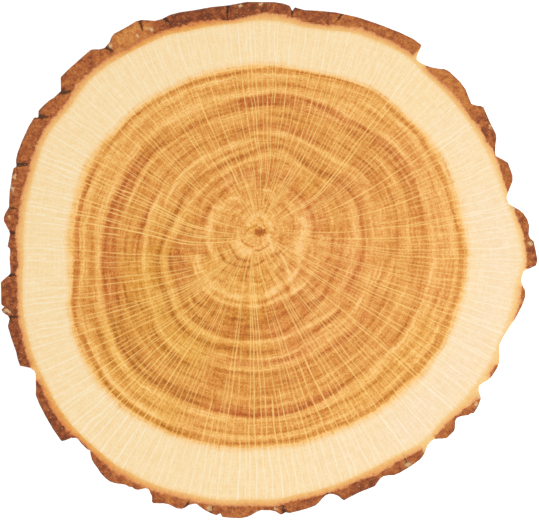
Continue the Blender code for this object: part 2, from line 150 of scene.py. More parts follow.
# Stretches of rings that stand out: (paler or darker by, half width in mm, {degrees: ring, ...})
STROKES = (
    # round the pith, which reaches further to the left and right
    (-0.9, 0.7, {-32: 2.2, 0: 2.6, 38: 2.3}), (-0.8, 0.7, {142: 2, 180: 2.4, 216: 2}),
    (-0.6, 0.4, {18: 4.2, 40: 3.6, 58: 3.5, 72: 4}),
    (-0.9, 0.45, {112: 3.5, 130: 3.9, 145: 4.5, 158: 5.1, 168: 5.8}),
    (-0.5, 0.4, {160: 5.4, 175: 6.7, 186: 7.7, 196: 8.5}),
    (-0.25, 0.6, {70: 5.4, 88: 5.6, 100: 6.1}),
    (0.25, 1.2, {0: 6.4, 50: 6.6, 80: 7.6, 120: 8.2, 140: 7.4, 160: 7.2}),
    (0.35, 1.6, {300: 6.5, 316: 6, 338: 5, 352: 5.5}),
    (-0.5, 0.45, {334: 7.5, 350: 7.9, 362: 8.2, 384: 7.5}),
    (-1, 0.4, {250: 9.2, 268: 9.6, 280: 9.1, 292: 9.1, 306: 9.5}),
    (-0.8, 0.4, {198: 9.8, 212: 9.3, 222: 8.6, 232: 8.3, 248: 8}),
    (-0.3, 0.9, {250: 6.2, 265: 5.6, 284: 5.2}), (-0.3, 0.8, {145: 10.4, 158: 10.2, 172: 10.6}),
    (-0.4, 0.45, {314: 9.8, 322: 10.1, 330: 10.2}), (-0.35, 0.5, {180: 12.2, 198: 12.9}),
    (-0.3, 0.9, {325: 12.6, 342: 12.3, 362: 12.2}), (-0.25, 0.7, {105: 13, 122: 13.4, 140: 13.2}),
    (0.4, 1.9, {195: 11.6, 215: 12.8, 230: 12.4, 250: 10.8}),
    (-0.85, 0.45, {228: 15.4, 242: 15, 254: 14.4}),
    (-0.85, 0.45, {198: 15.8, 212: 15, 228: 15.4, 240: 15.2}),
    (-0.35, 1.1, {290: 14.8, 300: 15.6, 312: 16.9, 326: 17.4}),
    (0.3, 0.8, {262: 17.6, 275: 16.2, 290: 15.6, 300: 16.6}),
    (-0.8, 0.5, {198: 20.8, 212: 20.3, 222: 19.8, 232: 18.6, 248: 17.8, 257: 17, 270: 15.5,
        282: 14.6}),
    (-0.3, 0.6, {184: 16.6, 195: 17.5, 206: 18.4}),
    (-0.3, 0.6, {-18: 17.6, 0: 18.2, 20: 18.9, 35: 19, 56: 19.4}),
    (-0.35, 1, {166: 22.2, 176: 21.8, 184: 21.3}), (-0.25, 0.7, {56: 22, 70: 22.6, 84: 23.7}),
    (-0.25, 0.8, {0: 23.8, 18: 23.6}), (-0.25, 0.7, {22: 25.8, 37: 25, 50: 24.3}),
    (-0.25, 1, {88: 21.8, 105: 21.5, 118: 21.7}), (0.25, 1.5, {12: 21.6, 40: 21.4, 60: 20.6}),
    (0.3, 1.6, {70: 21.4, 80: 21.4, 90: 21}),
    (0.4, 1.8, {118: 20.6, 132: 22.4, 150: 24.6, 165: 26, 178: 26, 190: 25.4}),
    (0.3, 1.3, {186: 25, 200: 24.4, 212: 23.4, 226: 21.6}),
    (-0.3, 0.7, {216: 24.8, 225: 23.6, 237: 22.2, 250: 21.8, 276: 21.4}),
    (-0.25, 0.6, {245: 23.8, 262: 23.6, 280: 23.9}),
    (0.6, 2.3, {318: 27.5, 330: 25.6, 340: 24.4, 352: 24, 365: 24.2, 382: 23.4}),
    (0.3, 2, {350: 26.5, 362: 26.6, 376: 26.4}),
    # the reddish ring 29 and the bright ring 30 under it
    (-0.35, 0.9, {-14: 30.2, 0: 29.6, 20: 29.2, 45: 29.4, 80: 29.4, 100: 28.9, 125: 28.5, 140: 28.4,
        150: 28.8, 168: 29.7, 178: 29.6, 190: 28.3, 198: 26.6, 212: 25.2}),
    (-0.3, 1, {126: 28.5, 140: 28.4, 155: 29.2, 170: 29.9, 180: 29.5}),
    (-0.35, 1.1, {192: 26.9, 200: 26.4, 208: 25.9}), (-0.3, 1.4, {140: 31.6, 158: 31.4, 172: 31.4}),
    (0.5, 1, {198: 31.2, 210: 30.8, 222: 30.5, 250: 30.9, 280: 30.6, 300: 30.4, 316: 29.8,
        326: 27.8}),
    (-0.3, 0.6, {224: 31.8, 237: 32.4, 260: 32.7, 290: 32.3, 310: 31.6, 324: 31.2}),
    (0.45, 0.65, {196: 34, 210: 33.2, 220: 32.9, 240: 33.5, 285: 33.6, 303: 34.8, 316: 35.2}),
    (-0.3, 1, {222: 34.8, 235: 35.2, 255: 35.5, 288: 35.2}),
    (-0.35, 0.65, {276: 36.2, 300: 36, 313: 35.9, 322: 36.5, 335: 37.1, 358: 37.5}),
    (-0.2, 0.8, {298: 38, 315: 38.4, 330: 38}),
    (-0.4, 1.4, {168: 40.8, 182: 40.2, 190: 40.2, 197: 39.3, 202: 37.6, 208: 36.4, 216: 35.9}),
    (-0.3, 0.9, {188: 39.6, 197: 41.6, 205: 43}),
    (-0.5, 0.65, {214: 40.6, 220: 39.4, 227: 38.4, 245: 38, 262: 38.6, 275: 38.4, 292: 39.2,
        300: 40.2, 310: 41.5, 318: 42.2}),
    (-0.3, 0.9, {232: 40.3, 245: 39.7, 258: 40.4, 284: 39.8}),
    (-0.25, 1.2, {20: 39.4, 38: 39.6, 54: 39.4}), (-0.2, 0.7, {5: 42.2, 22: 42, 36: 42.6}),
    (0.3, 0.8, {0: 37.4, 14: 36.9, 30: 36.6}), (-0.25, 0.7, {-4: 35.4, 12: 35, 30: 33.9, 40: 34.4}),
    (-0.25, 1.8, {60: 32.6, 72: 32.8, 86: 32.4}),
    (-0.2, 2.6, {92: 37, 105: 36.4, 125: 37.6, 160: 38.4}),
    (-0.45, 0.8, {176: 41.4, 188: 42.8, 205: 43.6, 215: 43.3, 224: 42.6, 245: 43.2, 268: 44.1,
        280: 43.8, 300: 42.5, 320: 42.2, 335: 41.3, 350: 40.6, 366: 40.4}),
    (-0.25, 1.2, {246: 42.6, 258: 42.8, 270: 42.8}),
    (-0.25, 0.55, {222: 45.3, 230: 44.3, 240: 44, 258: 45, 285: 45, 298: 45.4}),
    (0.3, 1.5, {30: 44.6, 60: 44.3, 90: 43.8, 120: 43, 145: 43.5, 165: 45, 185: 46.2, 200: 46,
        244: 46.4}),
    (0.45, 0.6, {236: 45.8, 255: 46, 270: 45.7, 285: 45.9, 295: 46.5, 305: 47.5, 315: 48.4,
        328: 49.2}),
    (0.25, 1.2, {332: 45.4, 350: 45.6, 365: 46.9, 392: 46.9}),
    # ring 49, dark all round
    (-0.4, 1, {0: 49.2, 30: 48.9, 45: 48.5, 80: 48.9, 110: 49.1, 122: 49.6, 133: 50.4, 142: 50.2,
        155: 49.4, 165: 48.7, 185: 49.2, 205: 50.3, 213: 49.7, 222: 49.1, 232: 49.2, 245: 48.4,
        258: 48.6, 270: 49.2, 308: 49.3, 325: 48.6, 342: 48.2, 360: 49.2}),
    (-0.3, 1, {30: 48.2, 46: 48.2, 60: 47.6, 70: 47.2}),
    (-0.3, 1.4, {74: 49.2, 88: 49, 98: 48.3, 112: 48.6, 128: 48.9}),
    (-0.35, 1, {160: 49, 167: 48.9, 176: 49.1, 190: 49.1, 200: 49.6}),
    (-0.25, 0.8, {226: 48.9, 245: 48.3, 262: 48.6}), (-0.3, 0.7, {300: 49.2, 312: 49.6, 322: 50}),
    (-0.35, 0.6, {88: 51.3, 100: 52.5, 120: 53.5, 140: 52.6, 150: 51.6, 158: 50.2, 166: 49.2}),
    (0.3, 0.6, {92: 50.5, 105: 51, 128: 51.7, 142: 51.2}), (-0.25, 0.6, {10: 51, 24: 50.6}),
    (-0.3, 0.7, {226: 50.6, 231: 50.8, 234: 50.4}),
    (0.4, 0.55, {246: 51.3, 258: 52.6, 285: 53, 300: 53.4, 312: 54.2, 332: 56.2}),
    (-0.4, 1.2, {254: 54.6, 268: 54.4, 285: 55, 298: 55.4}),
    (-0.3, 0.7, {36: 55.2, 46: 55.2, 60: 54.5, 75: 54.4, 85: 55.1, 94: 56.3, 104: 57.6, 118: 58.1,
        132: 58.2, 146: 57.9, 160: 56.9, 170: 56.2}),
    (0.4, 0.8, {94: 55.6, 107: 56.4, 120: 56.3, 132: 56.6, 142: 56.6, 154: 55.9, 167: 54.9}),
    (-0.35, 0.6, {176: 57.4, 184: 56.2, 188: 54.2, 194: 51.6, 202: 50.6}),
    (-0.3, 0.6, {172: 55.2, 180: 54.4, 187: 52.4, 194: 50.8}),
    (0.35, 1.1, {32: 57.8, 55: 58.2, 68: 58.5, 84: 58.4}),
    (0.4, 1, {158: 59, 170: 59.2, 180: 58.4, 190: 57.2, 200: 57.4}),
    (0.2, 1.2, {198: 60.2, 208: 58.6, 218: 57.6, 238: 57.6}),
    (-0.2, 0.6, {12: 57.9, 24: 57.5, 34: 57.8}),
    # rings 60 to 70
    (-0.35, 0.8, {12: 61.6, 25: 60.7, 50: 60.4, 80: 60.6, 92: 61, 110: 62.1, 140: 62, 155: 61.2,
        175: 60.9, 190: 61, 200: 61.6}),
    (-0.3, 1, {50: 62.3, 72: 62.4, 82: 62.8, 94: 62.2}),
    (-0.35, 0.7, {86: 59.5, 100: 59.2, 112: 59.6, 120: 60.3}),
    (-0.25, 0.6, {16: 62.9, 30: 62.4, 50: 62.8}), (-0.4, 0.8, {158: 60.9, 172: 61.1, 190: 60.9}),
    (-0.25, 0.8, {180: 64.4, 192: 63.2, 202: 61.2, 212: 59.8}),
    (-0.35, 0.6, {180: 68, 188: 67.2, 196: 66.5, 204: 65.2, 212: 64, 218: 62.2}),
    (-0.55, 0.8, {216: 62.4, 223: 60.9, 230: 60.4, 237: 60.7, 244: 61.8}),
    (-0.35, 0.7, {218: 63, 230: 62.6, 238: 63.1}),
    (-0.4, 0.6, {240: 61.2, 247: 62.6, 254: 63.8, 270: 65, 300: 65.2, 310: 65.7, 332: 65.2, 352: 65,
        366: 66}),
    (-0.2, 0.9, {300: 65.6, 315: 65.7, 328: 65.4}),
    (-0.3, 0.9, {238: 57.8, 247: 58.8, 256: 60, 275: 60.8, 300: 61, 312: 61.2, 340: 60.5}),
    (-0.25, 1, {296: 61, 310: 61.3, 324: 60.9}),
    (-0.5, 0.65, {-6: 66, 12: 66.3, 20: 66.4, 27: 65.6, 34: 65, 42: 65.6, 50: 66.4}),
    (-0.3, 0.7, {48: 66.4, 62: 66.8, 74: 67.5, 84: 67.2}),
    (-0.5, 0.8, {198: 70.2, 205: 69.2, 211: 68.2, 218: 67.2}),
    (-0.3, 0.8, {214: 67.6, 222: 66.6, 238: 67, 252: 68.2, 262: 69, 290: 69.2, 318: 69, 340: 68.3}),
    (-0.3, 0.6, {255: 66.8, 280: 67.2, 320: 67.4}),
    (-0.3, 0.55, {112: 68.8, 140: 69.5, 155: 69, 182: 69.7}),
    (-0.25, 0.55, {18: 69.3, 33: 68.9, 52: 69.6}), (-0.2, 0.6, {64: 69.6, 88: 69.3}),
    (0.35, 0.6, {86: 70.5, 105: 69.8, 122: 69.9}),
    (0.4, 0.6, {136: 70.4, 150: 70.6, 168: 71.2, 176: 71.8}),
    (0.3, 1.2, {-10: 70.4, 10: 71.2, 25: 71.2, 36: 70.2}),
    (0.2, 1.2, {286: 71.6, 320: 71.4, 345: 71.6}),
    # the dark bands of rings 72 to 80
    (-0.45, 0.9, {74: 74.2, 92: 74.2, 100: 73.4, 108: 72.5, 120: 71.8, 130: 71.5, 138: 72.1,
        146: 73.6}),
    (-0.45, 1, {132: 73.2, 145: 74, 155: 73.6, 180: 73.8, 190: 72.8, 200: 73.2, 220: 74.4,
        236: 75.6, 244: 75.9, 256: 75.1}),
    (-0.2, 1.4, {5: 74.9, 25: 74.4, 40: 74.8, 54: 74}),
    (-0.3, 2.4, {72: 77.2, 86: 76.6, 102: 76.4}), (-0.3, 0.7, {10: 78.4, 25: 78.2, 40: 78.3}),
    (-0.5, 1, {14: 81.2, 26: 80.7, 38: 80.2, 52: 79}), (-0.35, 0.8, {48: 77.7, 60: 77.3, 72: 77.8}),
    (-0.4, 0.9, {58: 79.2, 72: 79.3, 82: 79.7, 92: 79}), (-0.25, 0.8, {88: 78.2, 106: 78.3}),
    (0.45, 1.8, {98: 79.6, 115: 79, 134: 79.8}), (0.25, 1.4, {108: 76.6, 124: 76, 134: 76.6}),
    (0.25, 1.2, {52: 75.6, 62: 75.2, 72: 75.8}),
    (-0.45, 0.9, {136: 77.2, 150: 76.9, 160: 77.1, 170: 78, 190: 78.4, 200: 78.9, 206: 78.1,
        222: 77.7, 240: 77.9, 255: 78.8, 272: 79.3, 290: 78.8, 308: 78.4}),
    (-0.35, 0.8, {166: 79.2, 182: 79.1}), (-0.35, 0.7, {192: 79.7, 204: 80, 208: 79.4}),
    (-0.35, 1, {256: 77, 268: 77.4, 280: 77.8, 296: 77.2}), (-0.2, 0.8, {314: 79.3, 334: 78.9}),
    (0.25, 1.2, {262: 75, 290: 74.8, 330: 75, 350: 75.6}), (0.2, 1, {222: 76.2, 236: 77}),
    # rings 83 to 96
    (-0.4, 0.7, {240: 86.2, 252: 84.8, 260: 84, 270: 83.3, 280: 83.8, 290: 84.8, 297: 86, 305: 87,
        325: 86.3, 345: 86.6}),
    (-0.45, 1, {196: 87, 210: 86.6, 218: 86.3, 230: 86.2}),
    (-0.35, 1, {178: 85, 190: 84.8, 200: 84.6}), (-0.3, 1.1, {62: 86, 80: 86.4, 92: 86, 106: 85}),
    (-0.2, 0.9, {18: 86.6, 36: 87.4, 50: 87.8}), (-0.2, 0.9, {116: 87.4, 140: 86.8, 152: 86.6}),
    (-0.5, 1, {194: 89.8, 205: 90.7, 212: 91.6}), (-0.25, 0.8, {222: 88.5, 235: 88.2, 246: 88.4}),
    (-0.35, 0.6, {246: 89.7, 265: 89.2, 280: 89.4, 300: 90.8, 308: 91.3, 330: 90.6, 342: 91.2,
        356: 91.4}),
    (-0.35, 0.8, {44: 91.3, 54: 91.2, 62: 90}), (0.3, 0.8, {216: 92.4, 232: 92.2, 246: 91.8}),
    (-0.3, 0.9, {0: 95.2, 20: 94.6, 35: 94.4, 50: 94.8, 65: 95.4, 75: 95.1, 85: 96.2, 92: 94.7,
        98: 94, 110: 94.7, 120: 95.3, 130: 94.6, 140: 95.4, 150: 94.7, 195: 94.7, 206: 95.5,
        212: 95.1, 217: 94.2, 224: 95.2, 250: 94.9, 257: 95.7, 263: 94.9, 285: 95.2, 295: 95.7,
        325: 94.9, 360: 95.2}),
    (-0.25, 0.9, {155: 94.8, 180: 94.8, 200: 94.4, 208: 95.4}),
    (-0.25, 0.8, {218: 95.2, 235: 95.2, 254: 94.9}), (-0.3, 1.4, {60: 96.4, 68: 96.8, 74: 96.2}),
    (-0.45, 1.2, {80: 97, 85: 97.4, 90: 96.8}), (-0.25, 0.8, {184: 93.6, 192: 93.2, 204: 93.8}),
    # two pale rays that start at the pith and lean to the lower right
    (0.9, 1.3, {297: 15.5, 303: 13, 326: 3.6, 331: 2.4}), (0.8, 1.8, {298: 36, 306: 27.2, 319: 7}),
    # broad stretches, each darker or paler than the rings alone would make it
    (0.25, 1.5, {30: 2.5, 130: 2.5}), (-0.25, 1.5, {285: 2.6, 360: 2.6}),
    (0.12, 2.5, {205: 10, 310: 10}), (0.2, 2, {290: 10, 310: 10}),
    (0.2, 1.8, {112: 17.6, 128: 17.8}), (-0.16, 2, {246: 17, 264: 17.2}),
    (-0.15, 2, {172: 21.6, 190: 21.6}), (-0.22, 3, {68: 26, 84: 25.4, 106: 22.6}),
    (0.14, 2, {224: 29.6, 308: 29.6}), (0.24, 3, {112: 30, 124: 32, 158: 34.4}),
    (-0.2, 2, {160: 34.2, 200: 34.2}), (-0.16, 4.5, {190: 39.5, 220: 39}),
    (-0.1, 3, {240: 41, 312: 41.6}), (0.1, 4, {318: 35, 356: 36}), (-0.12, 7, {20: 51, 72: 49}),
    (-0.1, 9, {178: 52, 232: 54}), (-0.1, 2.5, {85: 46, 180: 46}), (-0.1, 1.5, {292: 54, 336: 54}),
    (-0.18, 3, {160: 68.6, 184: 69.8, 206: 70, 232: 69.6}), (-0.1, 4, {190: 62, 250: 62}),
    (0.13, 2.6, {300: 66, 382: 66}), (0.12, 2.5, {345: 74.8, 384: 77}),
    (-0.32, 1.4, {262: 74, 278: 74}), (0.1, 1.8, {285: 78, 326: 78}),
    (0.12, 3.6, {292: 86.6, 382: 86.6}), (-0.08, 4, {188: 86, 240: 86}),
    (0.12, 1.5, {84: 90, 114: 90}), (-0.14, 1, {222: 93, 264: 93}),
    (0.12, 1.6, {-18: 94.6, 38: 94.6}), (0.14, 1.3, {84: 95.4, 118: 96.2}),
    (0.2, 1, {294: 94.8, 312: 94.8}), (0.14, 1.2, {84: 96.8, 130: 97, 196: 97}),
    (0.12, 2, {104: 13.8, 144: 13.8}), (0.14, 2.2, {322: 18, 362: 18}),
    (0.14, 4, {320: 24, 360: 24}), (-0.16, 2, {78: 26.6, 104: 26.6}),
    (-0.16, 1.8, {170: 34, 190: 34}), (0.2, 1.8, {308: 34, 330: 33.4}),
    (0.16, 2, {336: 38, 358: 38}), (0.14, 2, {100: 42.2, 130: 42.2, 196: 42.2}),
    (-0.12, 2, {194: 41, 218: 41}), (0.14, 2.4, {306: 43.4, 332: 43.4}),
    (0.16, 2.4, {352: 46.8, 386: 46.8}), (0.1, 3, {262: 49.8, 330: 49.8}),
    (0.12, 2, {124: 57.6, 158: 57.6}), (0.12, 2, {96: 54, 116: 54}), (0.14, 1.6, {96: 90, 114: 90}),
)
# Where the wood is golden (above nought) or reddish (below), in the same way. The broad stretches
# at the end are painted light from the window to the right.
HUES_AND_PAINTED_LIGHT = (
    (1, 2, {110: 4, 150: 5, 175: 6.5}), (0.6, 2.5, {30: 4.5, 100: 6}),
    (1, 12, {185: 58, 215: 60, 250: 56}), (0.9, 9, {205: 78, 225: 84, 250: 88}),
    (0.5, 5, {-5: 39, 30: 38, 55: 40}), (0.6, 7, {200: 24, 250: 25, 300: 22}),
    (0.6, 4, {290: 87, 340: 88}), (0.7, 1.5, {215: 95.2, 256: 95}),
    (-1, 4, {45: 78, 80: 77, 105: 76.5}), (-0.8, 3, {55: 32, 90: 32}), (-0.7, 6, {85: 31, 135: 34}),
    (-1, 4, {145: 76, 210: 76.5}), (-1, 2.5, {250: 78, 300: 78}), (-0.8, 3, {155: 30.5, 205: 30}),
    (-1, 4, {180: 39.5, 218: 39}), (-0.8, 2, {235: 42, 285: 42.5}), (-1, 2, {250: 54.6, 300: 55}),
    (-0.8, 2.5, {55: 61.5, 104: 61.5}), (-0.7, 2, {155: 61, 200: 61}),
    (-0.6, 2, {295: 61, 330: 61}), (-0.6, 3, {320: 47.5, 352: 47.5}),
    (-0.6, 1.5, {155: 94.5, 208: 94.5}), (-0.6, 3, {15: 79, 52: 79}), (-0.5, 4, {0: 28, 60: 29}),
    # broad stretches, painted light: less golden on the right, where the window light falls, and
    # more golden on the left, away from it
    (-0.7, 26, {275: 40, 400: 40}), (-0.6, 12, {330: 88, 400: 88}), (0.5, 14, {160: 46, 275: 44}),
    # in the sapwood on the right: painted light, whiter where the window light falls
    (0.5, 13, {278: 112, 398: 112}), (0.5, 13, {298: 112, 374: 112}),
)

# How light the sawn outer bark is round the trunk: 0 is dark red-brown and 1 tan.
BARK_TONES = {
    0: 0.3, 13: 0.4, 20: 0.4, 32: 0.3, 36: 0.45, 39: 0.6, 48: 0.6, 56: 0.45, 72: 0.45, 78: 0.25,
    98: 0.15, 113: 0.1, 118: 0.6, 120: 0.75, 125: 0.7, 128: 0.42, 140: 0.37, 154: 0.37, 165: 0.35,
    172: 0.27, 187: 0.2, 203: 0.2, 222: 0.15, 228: 0.25, 236: 0.35, 245: 0.42, 267: 0.45, 272: 0.3,
    285: 0.3, 295: 0.2, 304: 0.4, 318: 0.45, 330: 0.45, 350: 0.6, 357: 0.5,
}
# Dark cracks in the sawn bark: (degrees, width, how far in from the outside, lean in degrees)
BARK_CRACKS = (
    (74, 0.7, 0.6, 1.5), (84.8, 1.2, 0.4, 0.3), (99.5, 0.8, 0.9, 0.8), (113.2, 1.2, 0.6, -1.2),
    (118.6, 0.9, 0.7, 1), (127.2, 1.3, 0.6, -1), (140.6, 1.5, 0.9, -1.6), (147.8, 1.4, 0.8, -1.8),
    (159, 1.5, 0.8, -1.2), (168.6, 1, 0.4, -0.8), (173.8, 0.9, 0.6, -0.6), (183.4, 1, 0.6, 0.5),
    (192.6, 1, 0.7, 0.6), (251.5, 1, 0.5, 0.5), (257, 0.7, 0.6, 0.8), (273.2, 1, 0.7, -0.8),
    (304, 0.9, 0.8, 0.8), (284, 0.7, 0.3, 0.4),
)
# Pale flakes of old bark caught in the outer edge: (degrees, mm in from the outside, size)
PALE_FLAKES = (
    (3.6, 1.6, 1.8), (12, 1.4, 1.4), (31, 0.8, 1.3), (92, 1.2, 1.2), (96.5, 1.4, 1.3),
    (117.4, 5.2, 1.6), (120.4, 6.4, 1.3), (126.6, 1.6, 1.4), (161.8, 1.5, 1.5), (164.6, 1.2, 1.8),
    (170.6, 2.4, 1), (191, 2.2, 2), (256.4, 1.8, 1.6), (271.5, 1.5, 1.2), (304.2, 1.6, 2.2),
    (309, 0.8, 1.4), (325, 1.2, 1.6), (326.8, 1.5, 1.4),
)
# How light the inner bark is, at each share of a turn: 0 is deep orange and 1 pale amber.
LIGHTER_INNER_BARK = {
    0: 0.9, 0.06: 0.85, 0.12: 0.5, 0.26: 0.5, 0.295: 0.1, 0.34: 0.15, 0.37: 0.45, 0.46: 0.6,
    0.55: 0.45, 0.6: 0.1, 0.64: 0.15, 0.68: 0.4, 0.73: 0.5, 0.82: 0.4, 0.88: 0.75, 1: 0.9,
}

# The mesh of the wood: its spokes run out from the pith as the wood's rays do.
SPOKES = 480
UPPER_RINGS = (0.7, *np.arange(1.4, 18, 0.4), *np.arange(18.2, 98.7, 0.65), 101, 104, 108, 112, 116,
               120, CAMBIUM_CALL)
UNDER_RINGS = (1.5, 5, 12, 20, 30, 40, 49, 61, 72, 79, 87, 95, 98, 110, CAMBIUM_CALL)

# Its rays and strokes
RAY_LANES = 214  # round the trunk, with one ray to each
DEEPEST_SHIFT = 0.6  # of tone, that strokes on top of one another come to
STROKE_FADE = 7  # degrees at each end of a stroke
STROKE_EASE = 9  # degrees that its line is smoothed over

# The mesh of the bark, and the places of its two materials in its list
SAWN, WEATHERED = 0, 1
BARK_COLUMNS = 1440
BARK_ROWS = 44
SAWN_ROWS = 12
UNDERSIDE_ROWS = 6
BARK_RADIUS = 130  # the usual one, to turn degrees into mm
RELIEF_START = 1.2  # mm from a cut to where the relief is full
LEAST_BARK = 0.4  # mm between the wood and the outside

# The picture map of the wood: the upper face fills the square, the wall is a thin band round it,
# and the underside lies in its corners, a quarter in each.
FACE_SCALE = 0.00372  # squares a millimetre
CORNER_SCALE = 0.00118
CORNER_MARGIN = 0.003
WALL_BAND = (0.488, 0.498)
UNDERSIDE_SHIFT = 1.37  # in turns, so that the underside's rays aren't those of the upper face

# The picture map of the bark: each sheet lies in four strips, a quarter of the way round each.
STRIP_ENDS = (0.008, 0.992)
STRIP_GAP = 0.006
SIDE_STRIP, UPPER_STRIP, UNDER_STRIP, WALL_STRIP = 0.115, 0.068, 0.038, 0.004


# ---- lines round the trunk, each held as its radius in 1440 directions ----

DIRECTIONS = np.linspace(0, TURN, 1440, endpoint=False)


def line(readings):
    return np.interp(DIRECTIONS, np.radians(list(readings)), list(readings.values()), period=TURN)


def eased(radii, degrees):
    """The same line without its wiggles of fewer degrees than about this."""
    waves = np.fft.rfft(radii)
    waves *= np.exp(-0.5 * (np.arange(len(waves)) * math.radians(degrees)) ** 2)
    return np.fft.irfft(waves, len(radii))


def seen_from(middle, x, y):
    """A closed line through these points, as radii from this middle."""
    x, y = x - middle[0], y - middle[1]
    turns = np.arctan2(y, x) % TURN
    order = np.argsort(turns)
    return np.interp(DIRECTIONS, turns[order], np.hypot(x, y)[order], period=TURN)


def from_pith(readings, middle):
    radii = line(readings)
    x = middle[0] + radii * np.cos(DIRECTIONS)
    y = middle[1] + radii * np.sin(DIRECTIONS)
    return seen_from(PITH, x, y)


def at(radii, turns):
    return np.interp(turns, DIRECTIONS, radii, period=TURN)


# ---- how the tree grew ----

def tree_rings(ease=0):
    """The known rings' lines from the pith. The rays ignore small bumps, so theirs are eased."""
    lines = {
        MIDDLE_CALL: eased(from_pith(MIDDLE_RING, RING_MIDDLE), 4 + ease),
        LAST_DARK_CALL: eased(from_pith(LAST_DARK_RING, RING_MIDDLE), 2.5 + ease),
        HEARTWOOD_CALL: eased(from_pith(HEARTWOOD_EDGE, RING_MIDDLE), 2.5 + ease),
        CAMBIUM_CALL: eased(from_pith(CAMBIUM, TRUNK_MIDDLE), 1.2 + ease),
    }
    wanders = {call: call + 0 * DIRECTIONS for call in (0, 72, MIDDLE_CALL)}
    wanders[30] = eased(line(RING_30), 5 + ease)
    wanders[49] = eased(line(RING_49), 3 + ease)
    wanders[61] = eased(line(RING_61), 3 + ease)
    return lines, wanders


def between(lines, ring, turns):
    """The radius of a ring that lies between known ones."""
    calls = sorted(lines)
    radius = at(lines[calls[0]], turns)
    for inner, outer in zip(calls, calls[1:]):
        share = np.clip((ring - inner) / (outer - inner), 0, 1)
        radius = radius + (at(lines[outer], turns) - at(lines[inner], turns)) * share
    return radius


def ring_radius(tree, ring, turns):
    """How far a ring lies from the pith in each direction, in mm."""
    lines, wanders = tree
    plain = between(wanders, ring, turns)
    # The first rings are round, and take the middle ring's shape by half its size.
    shape = 1 - (1 - np.clip(plain / (MIDDLE_CALL / 2), 0, 1)) ** 2
    inner = plain * (1 + (at(lines[MIDDLE_CALL], turns) / MIDDLE_CALL - 1) * shape)
    return np.where(ring <= MIDDLE_CALL, inner, between(lines, ring, turns))


def ray_turns(rings):
    """The direction of every spoke at every ring: even at the cambium, then square to each ring."""
    tree = tree_rings(ease=9)
    fine = np.arange(CAMBIUM_CALL, 0.4, -0.5)
    turns = np.linspace(0, TURN, SPOKES, endpoint=False)
    aside = 0.005  # radians, to either side, to read how far a ring leans
    kept = [turns]
    for ring, after in zip(fine, fine[1:]):
        radius = ring_radius(tree, ring, turns)
        lean = ring_radius(tree, ring, turns + aside) - ring_radius(tree, ring, turns - aside)
        lean /= 2 * aside
        step = ring_radius(tree, after, turns) - radius
        turns = turns - lean / radius ** 2 * step / (1 + (lean / radius) ** 2)
        kept.append(turns)
    kept, fine = np.array(kept)[::-1], fine[::-1]
    return np.array([[np.interp(ring, fine, spoke) for spoke in kept.T] for ring in rings])


def strokes_at(strokes, turns, rings):
    """What the strokes add up to at each point. They fade out over their last few degrees."""
    total = np.zeros(turns.shape)
    window = np.hanning(STROKE_EASE) / np.hanning(STROKE_EASE).sum()
    for strength, width, points in strokes:
        start, end = min(points), max(points)
        whole = np.arange(start, end + 1)
        calls = np.interp(whole, list(points), list(points.values()))
        calls = np.convolve(np.pad(calls, STROKE_EASE // 2, "edge"), window, "valid")
        here = (np.degrees(turns) - start) % 360 + start
        fade = np.clip(np.minimum(here - start, end - here) / STROKE_FADE, 0, 1)
        fade = fade if end - start < 360 else 1
        away = (rings - np.interp(here, whole, calls)) / width
        total += strength * fade * np.exp(-away ** 2)
    return total


# ---- meshes ----

SAME_POINT = 0.0001  # mm: sheets are joined where their points are nearer than this
SHARP_EDGE = 60  # degrees: the rims of the cuts are, and the waves of the bark aren't


def closed_mesh(name, sheets, materials):
    """One closed mesh from sheets of points that meet at their edges.

    A sheet is a grid of points in mm, with a grid of the grain map, one of the picture map and
    one of the marks, then the number of its material and whether its faces are flipped. Where
    they aren't, they look along rows x columns.
    """
    points, grain, picture, marks, slots, flipped = zip(*sheets)
    faces, count = [], 0
    for grid, flip in zip(points, flipped):
        rows, columns = grid.shape[:2]
        number = np.arange(rows * columns).reshape(rows, columns) + count
        quads = np.stack([number[:-1, :-1], number[:-1, 1:], number[1:, 1:], number[1:, :-1]], -1)
        faces.append(quads.reshape(-1, 4)[:, ::-1 if flip else 1])
        count += rows * columns
    slots = np.repeat(slots, [len(quads) for quads in faces])
    faces = np.concatenate(faces)

    def joined(grids):
        return np.concatenate([grid.reshape(-1, grid.shape[-1]) for grid in grids])

    mesh = bpy.data.meshes.new(name)
    mesh.from_pydata((joined(points) * MM).tolist(), [], faces.tolist())
    for map_name, grids in (("grain", grain), ("OFBake", picture)):
        layer = mesh.uv_layers.new(name=map_name)
        corners = joined(grids)[faces.reshape(-1)]
        layer.uv.foreach_set("vector", corners.astype(np.float32).reshape(-1))
    layer = mesh.attributes.new("marks", "FLOAT_VECTOR", "POINT")
    layer.data.foreach_set("vector", joined(marks).astype(np.float32).reshape(-1))
    mesh.polygons.foreach_set("material_index", slots.astype(np.int32))
    for material in materials:
        mesh.materials.append(material)
    skin = bmesh.new()
    skin.from_mesh(mesh)
    bmesh.ops.remove_doubles(skin, verts=skin.verts, dist=SAME_POINT * MM)
    skin.to_mesh(mesh)
    skin.free()
    mesh.shade_smooth()
    mesh.set_sharp_from_angle(angle=math.radians(SHARP_EDGE))
    piece = bpy.data.objects.new(name, mesh)
    bpy.context.scene.collection.objects.link(piece)
    return piece


def closed_round(grid):
    """The grid with its first column again at the end."""
    return np.concatenate([grid, grid[:, :1]], 1)


def quarter_of(number, columns):
    """The columns of one quarter of the way round, with the first of the next."""
    return slice(number * columns // 4, (number + 1) * columns // 4 + 1)


# ---- the wood ----

